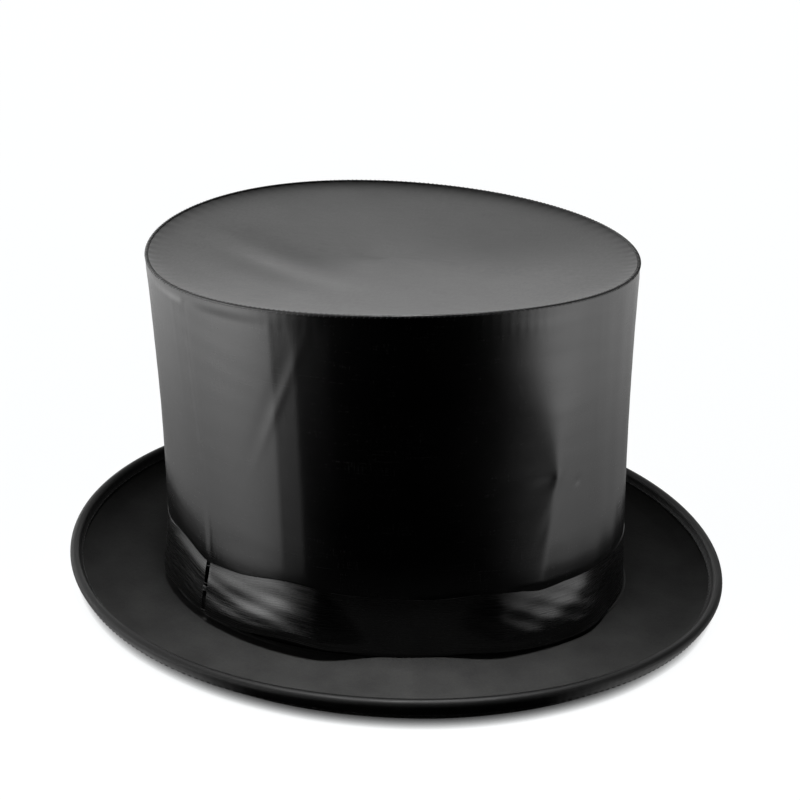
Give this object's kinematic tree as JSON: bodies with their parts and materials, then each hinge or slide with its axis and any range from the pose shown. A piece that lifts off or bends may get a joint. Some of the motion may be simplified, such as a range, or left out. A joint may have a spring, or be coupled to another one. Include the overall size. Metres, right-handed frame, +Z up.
{
  "type": "top hat",
  "caption": "Folding top hat with a satin crown on a sprung steel strut frame, a ribbon band and a felt brim with a curled, bound edge.",
  "frame": {"origin": "centre of the bounding box at the brim's flat underside, which is the hat's resting plane", "axes": "+Z up through the crown, +X to the front, which is the narrow end of the oval, +Y to the wearer's left"},
  "size_m": [0.2961, 0.2604, 0.1596],
  "materials": {
    "satin": "glossy black satin",
    "lining": "matt black cotton",
    "felt": "matt black wool felt",
    "buckram": "stiffened dark buckram",
    "ribbon": "black satin ribbon, slightly puckered",
    "thread": "black sewing thread",
    "sweatband_leather": "dark brown leather, semi-matt",
    "frame_steel": "blued sheet steel",
    "spring_steel": "bright spring steel"
  },
  "bodies": {
    "base": {"brim_core": "buckram", "brim_top_cover": "felt", "brim_under_cover": "felt", "brim_edge_wire": "spring_steel", "brim_binding": "ribbon", "base_collar": "buckram", "sweatband": "sweatband_leather", "hat_band": "ribbon", "band_knot": "thread", "base_piping": "ribbon", "crown_side_cover": "satin", "crown_side_lining": "lining", "bottom_ring": "frame_steel", "bottom_bracket_1": "frame_steel", "bottom_bracket_2": "frame_steel", "bottom_bracket_3": "frame_steel", "bottom_bracket_4": "frame_steel", "bottom_pin_1": "spring_steel", "bottom_pin_2": "spring_steel", "bottom_pin_3": "spring_steel", "bottom_pin_4": "spring_steel", "bottom_rivet_1": "spring_steel", "bottom_rivet_2": "spring_steel", "bottom_rivet_3": "spring_steel", "bottom_rivet_4": "spring_steel"},
    "lower_link_1": {"lower_arm_1": "frame_steel", "elbow_pin_1": "spring_steel", "elbow_spring_1": "spring_steel"},
    "upper_link_1": {"upper_arm_1": "frame_steel"},
    "lower_link_2": {"lower_arm_2": "frame_steel", "elbow_pin_2": "spring_steel", "elbow_spring_2": "spring_steel"},
    "upper_link_2": {"upper_arm_2": "frame_steel"},
    "lower_link_3": {"lower_arm_3": "frame_steel", "elbow_pin_3": "spring_steel", "elbow_spring_3": "spring_steel"},
    "upper_link_3": {"upper_arm_3": "frame_steel"},
    "lower_link_4": {"lower_arm_4": "frame_steel", "elbow_pin_4": "spring_steel", "elbow_spring_4": "spring_steel"},
    "upper_link_4": {"upper_arm_4": "frame_steel"},
    "crown_top": {"top_ring": "frame_steel", "crown_tip": "satin", "tip_lining": "lining", "tip_piping": "ribbon", "top_bracket_1": "frame_steel", "top_bracket_2": "frame_steel", "top_bracket_3": "frame_steel", "top_bracket_4": "frame_steel", "top_pin_1": "spring_steel", "top_pin_2": "spring_steel", "top_pin_3": "spring_steel", "top_pin_4": "spring_steel", "top_rivet_1": "spring_steel", "top_rivet_2": "spring_steel", "top_rivet_3": "spring_steel", "top_rivet_4": "spring_steel"}
  },
  "joints": [
    {"name": "crown_fold", "type": "hinge", "parent": "base", "child": "lower_link_1", "pos_m": [0.07796, 0.03731, 0.028], "axis": [0.5736, -0.8192, 0], "range_deg": [0, 86], "stiffness_Nm_per_rad": 0.05, "springref_deg": -28.65, "deforming": ["crown_side_cover", "crown_side_lining"]},
    {"name": "elbow_1", "type": "hinge", "parent": "lower_link_1", "child": "upper_link_1", "pos_m": [0.07961, 0.03846, 0.08555], "axis": [-0.5736, 0.8192, 0], "range_deg": [0, 172], "deforming": ["elbow_spring_1"]},
    {"name": "top_hinge", "type": "hinge", "parent": "upper_link_1", "child": "crown_top", "pos_m": [0.07796, 0.03731, 0.1431], "axis": [0.5736, -0.8192, 0], "range_deg": [0, 86]},
    {"name": "lower_hinge_2", "type": "hinge", "parent": "base", "child": "lower_link_2", "pos_m": [0.07796, -0.03571, 0.028], "axis": [-0.5736, -0.8192, 0], "range_deg": [0, 86]},
    {"name": "elbow_2", "type": "hinge", "parent": "lower_link_2", "child": "upper_link_2", "pos_m": [0.07961, -0.03687, 0.08555], "axis": [0.5736, 0.8192, 0], "range_deg": [0, 172], "deforming": ["elbow_spring_2"]},
    {"name": "lower_hinge_3", "type": "hinge", "parent": "base", "child": "lower_link_3", "pos_m": [-0.07444, 0.04854, 0.028], "axis": [0.6293, 0.7771, 0], "range_deg": [0, 86]},
    {"name": "elbow_3", "type": "hinge", "parent": "lower_link_3", "child": "upper_link_3", "pos_m": [-0.076, 0.04981, 0.08555], "axis": [-0.6293, -0.7771, 0], "range_deg": [0, 172], "deforming": ["elbow_spring_3"]},
    {"name": "lower_hinge_4", "type": "hinge", "parent": "base", "child": "lower_link_4", "pos_m": [-0.07444, -0.04694, 0.028], "axis": [-0.6293, 0.7771, 0], "range_deg": [0, 86]},
    {"name": "elbow_4", "type": "hinge", "parent": "lower_link_4", "child": "upper_link_4", "pos_m": [-0.076, -0.04821, 0.08555], "axis": [0.6293, -0.7771, 0], "range_deg": [0, 172], "deforming": ["elbow_spring_4"]}
  ],
  "couplings": [
    {"joint": "elbow_1", "follows": "crown_fold", "ratio": 2},
    {"joint": "top_hinge", "follows": "crown_fold", "ratio": 1},
    {"joint": "lower_hinge_2", "follows": "crown_fold", "ratio": 1},
    {"joint": "elbow_2", "follows": "crown_fold", "ratio": 2},
    {"joint": "lower_hinge_3", "follows": "crown_fold", "ratio": 1},
    {"joint": "elbow_3", "follows": "crown_fold", "ratio": 2},
    {"joint": "lower_hinge_4", "follows": "crown_fold", "ratio": 1},
    {"joint": "elbow_4", "follows": "crown_fold", "ratio": 2}
  ]
}
